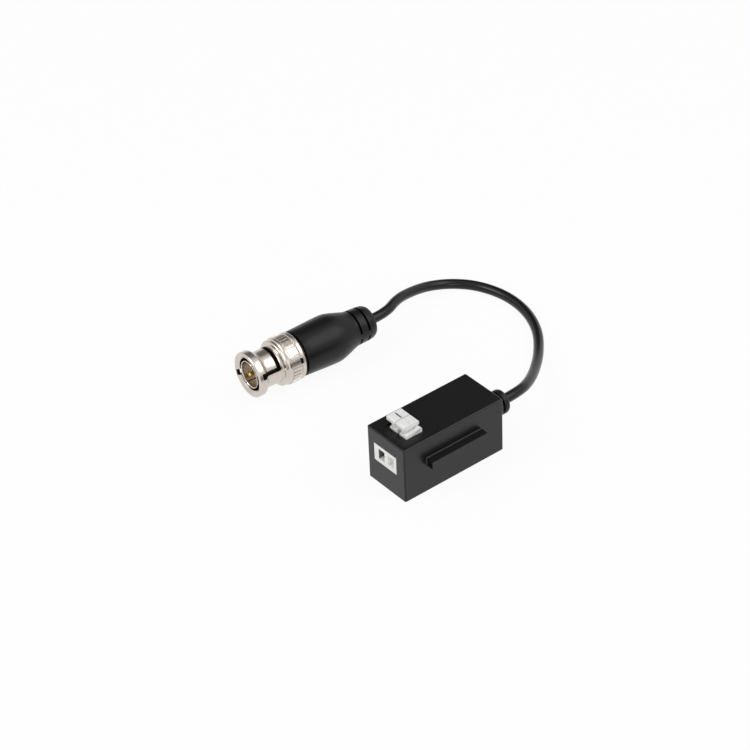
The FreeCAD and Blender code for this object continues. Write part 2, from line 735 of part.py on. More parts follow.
# Plug, turned about its own Z axis and then laid along its place in the frame
def make_nut():
    """The bayonet coupling nut: rim, barrel with two ramped slots and a ribbed collar."""
    shoulder = "(collar_start - shoulder_start)"
    profile = [("nut_bore", "mouth_depth"), ("mouth_radius", "0"), ("rim_radius - rim_chamfer", "0"),
               ("rim_radius", "rim_chamfer"), ("rim_radius", "rim_thick"),
               ("barrel_radius", "rim_thick + flare_length"), ("barrel_radius", "shoulder_start"),
               ("shoulder_radius", f"shoulder_start + {shoulder} / 4"),
               ("shoulder_radius", f"shoulder_start + {shoulder} / 2"),
               ("collar_radius", "collar_start"), ("collar_radius", "nut_length - rim_chamfer"),
               ("collar_radius - rim_chamfer", "nut_length"), ("nut_bore + nut_lip / 10", "nut_length"),
               ("nut_bore + nut_lip / 10", "nut_length - nut_lip"), ("nut_cavity", "nut_length - nut_lip"),
               ("nut_cavity", "washer_seat"), ("nut_bore", "washer_seat")]
    nut = turned("coupling_nut", profile)
    rib = rectangle("collar_radius - rib_depth", "collar_radius + rib_depth",
                    "-rib_groove / 2", "rib_groove / 2")
    grooves = pocket(nut, "XY_Plane", "rib_end - rib_start", rib, offset="rib_end")
    polar(nut, grooves, "rib_count")
    inside = "nut_bore - notch_lip"
    reach = "rim_radius + rim_thick"
    notch = rectangle(inside, reach, "-notch_width / 2", "notch_width / 2")
    notches = pocket(nut, "XY_Plane", "notch_end - notch_lip", notch, offset="notch_lip", reversed_way=True)
    polar(nut, notches, "2")
    run = rectangle(inside, reach, "-slot_width / 2", "slot_width / 2")
    runs = pocket(nut, "XY_Plane", "slot_back - notch_lip", run, offset="notch_lip", reversed_way=True)
    polar(nut, runs, "2")
    for base, edge in (("shoulder_radius", "shoulder_start"), ("collar_radius", "rib_end")):
        mark = rectangle(f"{base} - mark_depth", reach, "-mark_width / 2", "mark_width / 2")
        marks = pocket(nut, "XY_Plane", "mark_length", mark, offset=edge, reversed_way=True)
        polar(nut, marks, "2")
    before = nut.Shape.Volume
    ramp = nut.newObject("PartDesign::Groove", "Ramp")
    turn = rectangle(inside, reach, "slot_back - slot_width", "slot_back")
    ramp.Profile = body_sketch(nut, "XZ_Plane", turn)
    ramp.ReferenceAxis = (ramp.Profile[0], ["V_Axis"])
    ramp.Reversed = True
    tie(ramp, Angle="slot_sweep")
    polar(nut, remove(nut, ramp, before), "2")
    return nut


def make_plug_inside():
    """Contact pin, insulator, sleeve, gasket, washer, hub and ferrule."""
    sleeve = turned("contact_sleeve", rectangle("sleeve_inner", "sleeve_outer", "sleeve_start", "hub_start"))
    slit = rectangle("-2 * sleeve_outer", "2 * sleeve_outer", "-sleeve_slit / 2", "sleeve_slit / 2")
    polar(sleeve, pocket(sleeve, "XY_Plane", "sleeve_slit_length", slit, offset="sleeve_start",
                         reversed_way=True), "2", angle=90)
    pieces = [sleeve]
    pin_back = "flange_start"
    pieces.append(turned("centre_pin", [("0", "contact_start"), ("contact_radius / 2", "contact_start"),
                                        ("contact_radius", "contact_start + contact_radius"),
                                        ("contact_radius", pin_back), ("0", pin_back)]))
    bore = "contact_radius + contact_bore_gap"
    pieces.append(turned("insulator", rectangle(bore, "sleeve_inner - insulator_gap",
                                                "insulator_start", "hub_start")))
    hub = "nut_bore - turning_gap"
    tail = "boot_start + tail_length"
    pieces.append(turned("plug_body", [(bore, "hub_start"), (hub, "hub_start"),
                                       (hub, "flange_start"), ("flange_radius", "flange_start"),
                                       ("flange_radius", "flange_start + flange_thick"),
                                       (f"{hub} + nut_lip / 10", "flange_start + flange_thick"),
                                       (f"{hub} + nut_lip / 10", "boot_start + tail_length / 2"),
                                       ("tail_radius", "boot_start + tail_length / 2"), ("tail_radius", tail),
                                       ("0", tail), ("0", pin_back), (bore, pin_back)]))
    pieces.append(turned("wave_washer", rectangle(f"{hub} + turning_gap / 2", "nut_cavity - turning_gap",
                                                  "flange_start - washer_thick", "flange_start")))
    pieces.append(turned("gasket", rectangle("sleeve_outer + insulator_gap",
                                             "nut_bore - insulator_gap - turning_gap",
                                             "hub_start - gasket_thick", "hub_start")))
    pieces.append(turned("crimp_ferrule", rectangle("ferrule_radius - ferrule_wall", "ferrule_radius",
                                                    tail, f"{tail} + ferrule_length")))
    return pieces


def make_boot():
    """The moulded boot: a straight grip, a tapered neck and two cut rings at the lead."""
    tail = "boot_start + tail_length"
    neck = "boot_end - tail_rings"
    first = f"{neck} + groove_width"
    second = f"{first} + ring_thick"
    hub = "nut_bore - turning_gap + nut_lip / 10 + boot_gap"
    step = "boot_start + tail_length / 2 + boot_gap"
    inner_end = f"{tail} + ferrule_length + boot_gap"
    outer = [("boot_front", "boot_start"), ("boot_radius", f"{neck} - taper_length"), ("neck_radius", neck),
             ("groove_radius", neck), ("groove_radius", first), ("ring_radius", first),
             ("ring_radius", second), ("groove_radius", second),
             ("groove_radius", f"{second} + groove_width"),
             ("tail_ring_radius", f"{second} + groove_width"), ("tail_ring_radius", "boot_end"),
             ("0", "boot_end"), ("0", inner_end), ("ferrule_radius + boot_gap", inner_end),
             ("ferrule_radius + boot_gap", f"{tail} + boot_gap"),
             ("tail_radius + boot_gap", f"{tail} + boot_gap"),
             ("tail_radius + boot_gap", step), (hub, step), (hub, "boot_start")]
    boot = turned("plug_boot", outer)
    round_circles(boot, "end_round", ("tail_ring_radius", "boot_end"))
    round_circles(boot, "boot_round", ("boot_front", "boot_start"), ("neck_radius", neck))
    pad = boot.newObject("PartDesign::Pad", "Bridge")
    reach = "(neck_radius + groove_radius) / 2"
    span = rectangle(f"-{reach}", reach, "-bridge_width / 2", "bridge_width / 2")
    pad.Profile = body_sketch(boot, "XY_Plane", span)
    pad.Profile[0].setExpression("AttachmentOffset.Base.z", bound(f"{neck} - groove_width / 2"))
    tie(pad, Length="3 * groove_width + ring_thick")
    doc.recompute()
    return boot


def lay_plug(pieces, nut):
    """Lay the plug's pieces along its axis. The nut stands turned to its slots' angle."""
    lying = Rotation(Vector(0, 0, 1), -number("plug_turn")) * ALONG_Y
    for piece in pieces:
        piece.Placement = Placement(plug_front(), lying)
    nut.Placement = Placement(plug_front(), lying * Rotation(Vector(0, 0, 1), number("slot_angle")))


make_cover()
make_base()
make_board()
make_transformer()
make_arrester()
make_terminal()
for name in SIDES:
    make_lever(name)
make_lever_pin()
for name in SIDES:
    make_spring(name)
    make_bar(name)
make_gland()
make_cable()
coupling_nut = make_nut()
lay_plug(make_plug_inside() + [make_boot()], coupling_nut)
doc.recompute()

# Every object is sound before anything is written
for item in doc.Objects:
    if "Invalid" in item.State or "Error" in item.State:
        raise RuntimeError(f"{item.Name} ({item.Label}) failed: {item.State}")
os.makedirs("parts", exist_ok=True)
for item in subparts:
    if item.Shape.isNull() or not item.Shape.isValid():
        raise RuntimeError(f"{item.Label} has no sound shape")
    if len(item.Shape.Solids) != 1:
        raise RuntimeError(f"{item.Label} is {len(item.Shape.Solids)} solids")
for item in subparts:
    item.Shape.exportStep(f"parts/{item.Label}.step")
    size = item.Shape.BoundBox
    print(f"{item.Label:22s} volume {item.Shape.Volume:9.2f}  z {size.ZMin:7.2f} to {size.ZMax:7.2f}")
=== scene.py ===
import math

import bpy
from mathutils import Euler, Matrix, Vector


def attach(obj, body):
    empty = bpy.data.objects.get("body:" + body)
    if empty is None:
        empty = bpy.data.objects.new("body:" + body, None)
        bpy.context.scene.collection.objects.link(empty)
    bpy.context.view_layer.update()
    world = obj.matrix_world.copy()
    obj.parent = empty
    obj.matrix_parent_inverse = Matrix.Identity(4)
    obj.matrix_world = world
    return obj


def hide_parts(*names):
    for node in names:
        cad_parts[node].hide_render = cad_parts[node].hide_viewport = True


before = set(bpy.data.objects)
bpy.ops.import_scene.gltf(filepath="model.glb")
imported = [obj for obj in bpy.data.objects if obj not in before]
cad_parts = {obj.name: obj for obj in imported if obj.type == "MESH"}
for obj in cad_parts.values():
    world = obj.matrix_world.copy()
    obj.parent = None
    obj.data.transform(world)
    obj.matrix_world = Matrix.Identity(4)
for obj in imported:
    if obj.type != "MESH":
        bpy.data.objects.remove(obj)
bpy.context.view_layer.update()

# Looks of a passive video balun: black box, push-lever terminal, short lead and bayonet plug.
# Metres, in the frame of the CAD part. Sizes below are written in millimetres and times MM.
MM = 0.001
WELD = 0.005  # points of a cut or joined piece that lie closer than this become one
CAD_WELD = 0.002  # the same for a copy of a CAD mesh
TURNED_WELD = 0.001  # and for a turned piece
MOULD_EDGE = 0.12  # width of the rounding on edges of moulded nylon
SHARP = math.radians(40)  # the least bend of an edge that gets it


# Camera
camera = bpy.data.objects.new("Camera", bpy.data.cameras.new("Camera"))
camera.data.lens = 120
camera.data.sensor_width = 36
camera.data.clip_start = 0.01
camera.location = (0.4493375, -0.3633210, 0.4654734)
camera.rotation_euler = Euler([math.radians(turn) for turn in (53.15637, 2.16097, 51.11491)])
bpy.context.scene.collection.objects.link(camera)
bpy.context.scene.camera = camera


# Modelling helpers
def deselect():
    """Leave no object selected."""
    bpy.ops.object.select_all(action="DESELECT")


def pick(piece):
    """Make a piece the only selected and active object."""
    deselect()
    piece.select_set(True)
    bpy.context.view_layer.objects.active = piece


def modify(piece, kind, **settings):
    """Give a piece a modifier and apply it."""
    modifier = piece.modifiers.new(kind.capitalize(), kind)
    for name, value in settings.items():
        setattr(modifier, name, value)
    pick(piece)
    bpy.ops.object.modifier_apply(modifier=modifier.name)


def settle(piece, name, degrees=35):
    """Name a piece, put its place into its mesh and shade it smooth up to an angle."""
    pick(piece)
    bpy.ops.object.transform_apply(location=True, rotation=True, scale=True)
    bpy.ops.object.shade_smooth_by_angle(angle=math.radians(degrees))
    piece.name = name
    piece.data.name = name
    return piece


def turned(outline, sides, edge=0.0, solid=False):
    """A ring, or a solid one, drawn up from a circle through radii and heights in mm."""
    deselect()
    radius, height = outline[0]
    bpy.ops.mesh.primitive_circle_add(vertices=sides, radius=radius * MM, location=(0, 0, height * MM),
                                      fill_type="NGON" if solid else "NOTHING")
    piece = bpy.context.object
    bpy.ops.object.mode_set(mode="EDIT")
    bpy.ops.mesh.select_mode(type="VERT")
    bpy.ops.mesh.select_all(action="SELECT")
    steps = outline[1:] if solid else outline[1:] + outline[:1]
    for after in steps:
        bpy.ops.mesh.extrude_region_move(TRANSFORM_OT_translate={"value": (0, 0, (after[1] - height) * MM)})
        factor = after[0] / radius
        bpy.ops.transform.resize(value=(factor, factor, 1), center_override=(0, 0, after[1] * MM))
        radius, height = after
    bpy.ops.mesh.select_all(action="SELECT")
    bpy.ops.mesh.remove_doubles(threshold=TURNED_WELD * MM)
    bpy.ops.mesh.normals_make_consistent(inside=False)
    bpy.ops.mesh.select_mode(type="EDGE")
    bpy.ops.mesh.select_all(action="DESELECT")
    if edge:
        bpy.ops.mesh.edges_select_sharp(sharpness=math.radians(25))
        bpy.ops.mesh.bevel(offset=edge * MM, segments=2)
        bpy.ops.mesh.select_all(action="DESELECT")
    bpy.ops.object.mode_set(mode="OBJECT")
    bpy.ops.object.transform_apply(location=True)
    return piece


def block(low, high):
    """A cube between two corners in mm, for cutting with or shaping on."""
    deselect()
    middle = [(a + b) / 2 * MM for a, b in zip(low, high)]
    bpy.ops.mesh.primitive_cube_add(size=1, location=middle)
    piece = bpy.context.object
    piece.scale = [(b - a) * MM for a, b in zip(low, high)]
    bpy.ops.object.transform_apply(location=True, rotation=True, scale=True)
    return piece


def copies_round(piece, count, span=360):
    """Copies of a piece turned about the Z axis, the piece itself first."""
    found = [piece]
    for index in range(1, count):
        pick(piece)
        bpy.ops.object.duplicate()
        twin = bpy.context.object
        twin.data.transform(Matrix.Rotation(math.radians(span * index / count), 4, "Z"))
        found.append(twin)
    return found


def combine(piece, others, operation):
    """Join a piece with others or cut them from it, delete them, and weld faces that have no size."""
    for other in others:
        modify(piece, "BOOLEAN", operation=operation, object=other, solver="EXACT")
        bpy.data.objects.remove(other)
    pick(piece)
    bpy.ops.object.mode_set(mode="EDIT")
    bpy.ops.mesh.select_all(action="SELECT")
    bpy.ops.mesh.remove_doubles(threshold=WELD * MM)
    bpy.ops.mesh.dissolve_degenerate(threshold=WELD * MM)
    bpy.ops.mesh.select_all(action="DESELECT")
    bpy.ops.object.mode_set(mode="OBJECT")


def cut_away(piece, cutters):
    """Take cutters out of a piece."""
    combine(piece, cutters, "DIFFERENCE")


def select_faces(piece, wanted):
    """Select only the faces whose middle and normal pass a test."""
    pick(piece)
    bpy.ops.object.mode_set(mode="EDIT")
    bpy.ops.mesh.select_mode(type="FACE")
    bpy.ops.mesh.select_all(action="DESELECT")
    bpy.ops.object.mode_set(mode="OBJECT")
    for face in piece.data.polygons:
        face.select = wanted(face.center, face.normal)


def painted_shade_slot(piece, wanted):
    """Put faces that pass a test on a second material slot, for painted shade. The first keeps the rest."""
    select_faces(piece, wanted)
    bpy.ops.object.material_slot_add()
    bpy.ops.object.material_slot_add()
    piece.active_material_index = 1
    bpy.ops.object.mode_set(mode="EDIT")
    bpy.ops.object.material_slot_assign()
    bpy.ops.object.mode_set(mode="OBJECT")


def outward(middle, normal):
    """How far a face of a turned piece points away from its axis, from -1 to 1."""
    return normal.xy.dot(middle.xy.normalized())


def traced(node):
    """A merged copy of a CAD node's mesh, its flat faces made whole."""
    pick(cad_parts[node])
    bpy.ops.object.duplicate()
    piece = bpy.context.object
    bpy.ops.object.mode_set(mode="EDIT")
    bpy.ops.mesh.select_all(action="SELECT")
    bpy.ops.mesh.remove_doubles(threshold=CAD_WELD * MM)
    bpy.ops.mesh.dissolve_limited(angle_limit=math.radians(1))
    bpy.ops.object.mode_set(mode="OBJECT")
    return piece


# Place of the plug: its own Z axis runs from its mating face back to the lead
PLUG_FRONT = Vector((-62.846, -22.629, 8.1)) * MM
PLUG_TURN = math.radians(2.93)
PLUG = (Matrix.Translation(PLUG_FRONT) @ Matrix.Rotation(-PLUG_TURN, 4, "Z")
        @ Matrix.Rotation(math.radians(-90), 4, "X"))


def lay(piece, turn=0.0):
    """Lay a piece turned about Z along the plug's axis."""
    piece.data.transform(PLUG @ Matrix.Rotation(math.radians(turn), 4, "Z"))
    return piece


# Lead, along the same route as the CAD node's
LEAD_RADIUS = 1.65
ROUTE = [(0, 26.15, 9.7), (0, 32.55, 9.7), (-4.3, 40.6, 7.1), (-10.6, 48.6, 4.3), (-18.2, 57.0, 2.2),
         (-27.8, 65.2, 1.65), (-38.6, 69.7, 1.65), (-49.4, 70.4, 1.65), (-59.4, 67.2, 1.65),
         (-65.6, 61.7, 1.8), (-68.2, 54.6, 2.9), (-67.4, 47.1, 4.9), (-64.7, 38.0, 7.3),
         (-60.1604, 29.8425, 8.1), (-60.4875, 23.4509, 8.1)]
line = bpy.data.curves.new("lead", "CURVE")
line.dimensions = "3D"
line.bevel_depth = LEAD_RADIUS * MM
line.bevel_resolution = 10
line.resolution_u = 12
line.use_fill_caps = True
spline = line.splines.new("NURBS")
spline.points.add(len(ROUTE) - 1)
for point, place in zip(spline.points, ROUTE):
    point.co = (place[0] * MM, place[1] * MM, place[2] * MM, 1)
spline.order_u = 3
spline.use_endpoint_u = True
lead = bpy.data.objects.new("lead", line)
bpy.context.scene.collection.objects.link(lead)


# Plug boot: straight grip, tapered neck and two grooves that a bridge interrupts on each side
GROOVE_WIDTH = 0.8
boot = turned([(5.0, 17.9), (7.5, 17.9), (7.62, 20.5), (7.78, 24.0), (7.95, 28.0), (8.0, 30.2), (7.86, 31.6),
               (7.42, 33.4), (6.85, 35.2), (6.3, 36.9), (5.9, 38.2), (5.78, 39.4), (5.66, 42.8),
               (5.45, 44.6), (4.9, 45.6), (3.9, 46.14), (1.7, 46.14), (1.7, 31.0), (5.0, 31.0)], 96, 0.12)
for start in (38.75, 41.95):
    end = start + GROOVE_WIDTH
    ring = turned([(4.4, start), (7.0, start), (7.0, end), (4.4, end)], 90)
    cut_away(ring, [block((-8, -0.95, start - 1), (8, 0.95, start + 2))])
    cut_away(boot, [ring])
settle(lay(boot), "plug_boot_skin")


# Coupling nut: rim, barrel with two ramped slots, and a collar with raised ribs
RIBS = 38
SIDES_PER_RIB = 4
nut = turned([(5.05, 3.0), (5.4, 1.8), (5.4, 0.7), (6.4, 0.0), (7.15, 0.0), (7.45, 0.3), (7.45, 2.3),
              (7.2, 2.75), (6.55, 3.3), (6.15, 3.75), (6.0, 4.5), (6.0, 9.3), (6.3, 9.55), (7.2, 9.6),
              (7.5, 9.9), (7.5, 10.45), (7.3, 10.6), (7.35, 10.8), (7.6, 11.1), (7.7, 11.6), (7.7, 11.9),
              (7.7, 15.0), (7.55, 15.1), (7.55, 15.35), (7.8, 15.5), (7.8, 16.6), (7.45, 17.1),
              (5.19, 17.1), (5.19, 15.7), (6.2, 15.7), (6.2, 12.5), (5.05, 12.5)],
             RIBS * SIDES_PER_RIB, 0.05)


def on_a_rib(middle, normal):
    """Three of every four sides of the collar make a rib, the fourth the groove beside it."""
    side = int(math.atan2(middle.y, middle.x) % math.tau / math.tau * RIBS * SIDES_PER_RIB)
    on_collar = 12.2 * MM < middle.z < 14.9 * MM and middle.xy.length > 7.5 * MM
    return on_collar and side % SIDES_PER_RIB != 0


select_faces(nut, on_a_rib)
bpy.ops.object.mode_set(mode="EDIT")
bpy.ops.mesh.inset(thickness=0.06 * MM, depth=0.22 * MM)
bpy.ops.object.mode_set(mode="OBJECT")

# What is cut from the nut, on both sides: the way in for the socket's studs, the slots' straight
# run and round corner, and the square marks and ledges on the collar
CORNER_HEIGHT = 8.05
keyways = copies_round(block((3.6, -0.98, -0.5), (6.7, 0.98, 0.6)), 2)
notches = (copies_round(block((3.5, -1.0, 0.4), (7.1, 1.0, 1.5)), 2)
           + copies_round(block((3.4, -1.02, 1.4), (9.1, 1.02, 2.7)), 2))
runs = copies_round(block((3.45, -0.7, 2.6), (9.05, 0.7, CORNER_HEIGHT)), 2)
deselect()
bpy.ops.mesh.primitive_cylinder_add(vertices=48, radius=0.72 * MM, depth=5.7 * MM,
                                    location=(6.25 * MM, 0, CORNER_HEIGHT * MM),
                                    rotation=(0, math.radians(90), 0))
bpy.ops.object.transform_apply(location=True, rotation=True)
corners = copies_round(bpy.context.object, 2)
marks = copies_round(block((7.2, -0.9, 14.95), (9.0, 0.9, 15.9)), 2)
ledges = copies_round(block((6.5, -0.9, 9.3), (9.0, 0.9, 10.6)), 2)
cut_away(nut, keyways + notches + runs + corners + marks + ledges)

# The slots' long run round the barrel, drawn out from the corner in small turns
RAMP_TURNS = 14
RAMP_TURN = math.radians(8)
ramp = block((3.3, -0.3, 7.35), (9.3, 0.15, 8.75))
select_faces(ramp, lambda middle, normal: normal.y < -0.9)
bpy.ops.object.mode_set(mode="EDIT")
for step in range(RAMP_TURNS):
    bpy.ops.mesh.extrude_region_move(TRANSFORM_OT_translate={"value": (0, 0, 0)})
    bpy.ops.transform.rotate(value=RAMP_TURN, orient_axis="Z", center_override=(0, 0, 0))
bpy.ops.object.mode_set(mode="OBJECT")
cut_away(nut, copies_round(ramp, 2))


def painted_shade_in_nut(middle, normal):
    """Faces in the nut's bore, and the walls of its slots, keyways and marks, which get painted shade."""
    radius = middle.xy.length
    facing = outward(middle, normal)
    in_bore = radius < 5.5 * MM and middle.z > 0.9 * MM
    in_slot = 0.1 * MM < middle.z < 9.3 * MM and abs(facing) < 0.45
    in_keyway = 0.1 * MM < middle.z < 2.8 * MM and radius > 6.4 * MM and facing < -0.8
    in_mark = 14.9 * MM < middle.z < 16.0 * MM and (abs(facing) < 0.4 or radius < 7.4 * MM)
    return in_bore or in_slot or in_keyway or in_mark


# Painted shade: the nut's bore, slot walls, keyways and marks take darker nickel
painted_shade_slot(nut, painted_shade_in_nut)
settle(lay(nut, -20), "coupling_nut_skin", 30)


# Inner pieces of the plug: slit contact sleeve, insulator with a sunk ring, and pin
sleeve = turned([(4.2, 0.75), (4.35, 0.55), (4.48, 0.5), (4.6, 0.65), (4.6, 1.3), (4.6, 10.9),
                 (4.2, 10.9), (4.2, 1.6)], 96, 0.03)
cut_away(sleeve, copies_round(block((-6, -0.175, -1), (6, 0.175, 5.5)), 2, 180))
# Painted shade: the sleeve's outer and end faces behind its front lip take darker nickel
painted_shade_slot(sleeve, lambda middle, normal: middle.z > 1.2 * MM and outward(middle, normal) > -0.3)
settle(lay(sleeve, 25), "contact_sleeve_skin")
core = turned([(0.705, 10.9), (0.705, 4.3), (1.3, 4.3), (1.35, 4.75), (3.4, 4.75), (3.45, 4.3),
               (4.15, 4.3), (4.15, 10.9)], 64, 0.04)
settle(lay(core), "insulator_skin")
pin = turned([(0.3, 0.5), (0.45, 0.6), (0.6, 0.85), (0.675, 1.2), (0.675, 13.9)], 40, 0, True)
settle(lay(pin), "centre_pin_skin")


# Strain relief behind the box: it grips the wall between its two flanges and ends in a ring
GLAND_PLACE = Vector((0, 18.85, 9.7)) * MM
gland = turned([(1.65, -2.4), (4.0, -2.4), (4.0, -1.25), (3.0, -1.25), (3.0, 0.05), (4.1, 0.05),
                (4.1, 4.0), (3.9, 4.3), (3.1, 4.3), (3.1, 5.1), (3.7, 5.1), (3.9, 5.3), (3.9, 6.5),
                (3.6, 7.05), (3.1, 7.3), (1.9, 7.3), (1.65, 7.0)], 72, 0.08)
gland.data.transform(Matrix.Translation(GLAND_PLACE) @ Matrix.Rotation(math.radians(-90), 4, "X"))
settle(gland, "cable_gland_skin")


# White terminal, with the soft edges of a moulding: a sill in front of each lever, and a cap on their pin
terminal = traced("terminal_housing")
modify(terminal, "BEVEL", width=MOULD_EDGE * MM, segments=2, limit_method="ANGLE", angle_limit=SHARP)
sills = [block((-2.9, -14.65, 16.5), (0.3, -14.27, 19.45)),
         block((1.45, -14.65, 16.5), (3.4, -14.27, 19.6))]
for sill in sills:
    modify(sill, "BEVEL", width=0.1 * MM, segments=2)
PIN_PLACE = Vector((0, -10.05, 20)) * MM
pin_cap = turned([(0.3, 3.7), (0.6, 3.7), (0.6, 4.5), (0.5, 4.6)], 32, 0, True)
pin_cap.data.transform(Matrix.Translation(PIN_PLACE) @ Matrix.Rotation(math.radians(90), 4, "Y"))
combine(terminal, sills + [pin_cap], "UNION")
left_entry = block((-3.3, -17.6, 9.7), (-0.8, -14.9, 12.7))
cut_away(terminal, [left_entry])


def in_left_entry(middle, normal):
    """The left wire entry's walls, roof and end. Its floor stays white."""
    return (-3.45 * MM < middle.x < -0.65 * MM and -18.7 * MM < middle.y < -14.9 * MM
            and 9.2 * MM < middle.z < 13.0 * MM and normal.z < 0.7)


# Painted shade: the left entry's walls, roof and end take grey nylon
painted_shade_slot(terminal, in_left_entry)
settle(terminal, "terminal_housing_skin")


def in_left_groove(middle, normal):
    """The grip groove across the left lever, which is the deeper of the two."""
    return middle.x < -0.9 * MM and -12.02 * MM < middle.y < -11.38 * MM and 21.1 * MM < middle.z < 22.1 * MM


levers = {}
for side in ("left", "right"):
    lever = traced(f"lever_{side}")
    cut_away(lever, [block((-3.9, -12.0, 21.15), (-1.0, -11.4, 22.4)),
                     block((0.3, -12.0, 21.75), (2.7, -11.4, 22.4))])
    modify(lever, "BEVEL", width=MOULD_EDGE * MM, segments=3, limit_method="ANGLE", angle_limit=SHARP)
    # Painted shade: the groove on the left lever takes grey nylon; the right lever has no faces there
    painted_shade_slot(lever, in_left_groove)
    levers[side] = settle(lever, f"lever_{side}_skin")


# Materials
def linear(code):
    """Linear colour of an sRGB hex value."""
    parts = [int(code[i:i + 2], 16) / 255 for i in (1, 3, 5)]
    return [p / 12.92 if p <= 0.04045 else ((p + 0.055) / 1.055) ** 2.4 for p in parts] + [1.0]


def add(tree, kind, links=None, **settings):
    """Add a node: settings name its properties or its inputs, links name the sockets that feed it."""
    node = tree.nodes.new(kind)
    for name, value in settings.items():
        if hasattr(node, name):
            setattr(node, name, value)
        else:
            node.inputs[name.replace("_", " ")].default_value = value
    for name, source in (links or {}).items():
        socket = source if isinstance(source, bpy.types.NodeSocket) else source.outputs[0]
        tree.links.new(socket, node.inputs[name])
    return node


def material(name):
    """A material with an empty tree and its object coordinates."""
    made = bpy.data.materials.new(name)
    made.use_nodes = True
    made.node_tree.nodes.clear()
    coords = add(made.node_tree, "ShaderNodeTexCoord").outputs["Object"]
    return made, made.node_tree, coords


def surface(tree, links, **settings):
    """The shader and the output."""
    shader = add(tree, "ShaderNodeBsdfPrincipled", links, **settings)
    add(tree, "ShaderNodeOutputMaterial", {"Surface": shader})


def dress(piece, look):
    """Give a piece one material on all its slots, adding one where it has none."""
    if not piece.material_slots:
        piece.data.materials.append(look)
    for slot in piece.material_slots:
        slot.material = look


# ABS, moulded in a fine spark-eroded tool: near black, even satin, a grain just visible up close
abs_black, tree, coords = material("moulded_black_abs")
grain = add(tree, "ShaderNodeTexNoise", {"Vector": coords}, Scale=1 / (0.25 * MM), Detail=3, Roughness=0.6)
tone = add(tree, "ShaderNodeTexNoise", {"Vector": coords}, Scale=1 / (9 * MM), Detail=2)
colour = add(tree, "ShaderNodeMix", {"Factor": tone}, data_type="RGBA")
colour.inputs["A"].default_value = linear("#09090a")
colour.inputs["B"].default_value = linear("#0f0f11")
rough = add(tree, "ShaderNodeMapRange", {"Value": grain}, To_Min=0.26, To_Max=0.33)
bump = add(tree, "ShaderNodeBump", {"Height": grain}, Strength=0.12, Distance=0.02 * MM)
surface(tree, {"Base Color": colour.outputs["Result"], "Roughness": rough, "Normal": bump}, IOR=1.42)

# Nylon, moulded white: slightly translucent, soft gloss, cool white
nylon, tree, coords = material("moulded_white_nylon")
tone = add(tree, "ShaderNodeTexNoise", {"Vector": coords}, Scale=1 / (2.5 * MM), Detail=2)
colour = add(tree, "ShaderNodeMix", {"Factor": tone}, data_type="RGBA")
colour.inputs["A"].default_value = linear("#e6e6e4")
colour.inputs["B"].default_value = linear("#efefed")
fine = add(tree, "ShaderNodeTexNoise", {"Vector": coords}, Scale=1 / (0.3 * MM), Detail=2)
rough = add(tree, "ShaderNodeMapRange", {"Value": fine}, To_Min=0.35, To_Max=0.45)
bump = add(tree, "ShaderNodeBump", {"Height": fine}, Strength=0.05, Distance=0.01 * MM)
surface(tree, {"Base Color": colour.outputs["Result"], "Roughness": rough, "Normal": bump}, IOR=1.53)

# Flexible PVC, moulded over the plug's tail: charcoal black with a broad soft highlight
boot_pvc, tree, coords = material("moulded_black_pvc")
grain = add(tree, "ShaderNodeTexNoise", {"Vector": coords}, Scale=1 / (0.35 * MM), Detail=3)
flow = add(tree, "ShaderNodeTexNoise", {"Vector": coords}, Scale=1 / (4 * MM), Detail=3)
colour = add(tree, "ShaderNodeMix", {"Factor": flow}, data_type="RGBA")
colour.inputs["A"].default_value = linear("#060607")
colour.inputs["B"].default_value = linear("#0b0b0c")
rough = add(tree, "ShaderNodeMapRange", {"Value": flow}, To_Min=0.3, To_Max=0.38)
bump = add(tree, "ShaderNodeBump", {"Height": grain}, Strength=0.12, Distance=0.02 * MM)
surface(tree, {"Base Color": colour.outputs["Result"], "Roughness": rough, "Normal": bump}, IOR=1.36)

# PVC jacket, extruded: smooth and a little glossier, so a thin line of light runs along it
jacket, tree, coords = material("extruded_black_pvc")
draw = add(tree, "ShaderNodeTexNoise", {"Vector": coords}, Scale=1 / (1.2 * MM), Detail=2)
colour = add(tree, "ShaderNodeMix", {"Factor": draw}, data_type="RGBA")
colour.inputs["A"].default_value = linear("#050506")
colour.inputs["B"].default_value = linear("#09090a")
rough = add(tree, "ShaderNodeMapRange", {"Value": draw}, To_Min=0.2, To_Max=0.27)
bump = add(tree, "ShaderNodeBump", {"Height": draw}, Strength=0.08, Distance=0.03 * MM)
surface(tree, {"Base Color": colour.outputs["Result"], "Roughness": rough, "Normal": bump}, IOR=1.4)

# Nickel plate on turned brass: warm bright grey with faint turning lines and soft smudges
nickel, tree, coords = material("plated_nickel")
smudge = add(tree, "ShaderNodeTexNoise", {"Vector": coords}, Scale=1 / (3 * MM), Detail=3)
colour = add(tree, "ShaderNodeMix", {"Factor": smudge}, data_type="RGBA")
colour.inputs["A"].default_value = linear("#c9c1b9")
colour.inputs["B"].default_value = linear("#d6cec6")
rough = add(tree, "ShaderNodeMapRange", {"Value": smudge}, To_Min=0.2, To_Max=0.3)
fine = add(tree, "ShaderNodeTexNoise", {"Vector": coords}, Scale=1 / (0.3 * MM), Detail=2)
bump = add(tree, "ShaderNodeBump", {"Height": fine}, Strength=0.05, Distance=0.01 * MM)
surface(tree, {"Base Color": colour.outputs["Result"], "Roughness": rough, "Normal": bump}, Metallic=1.0)

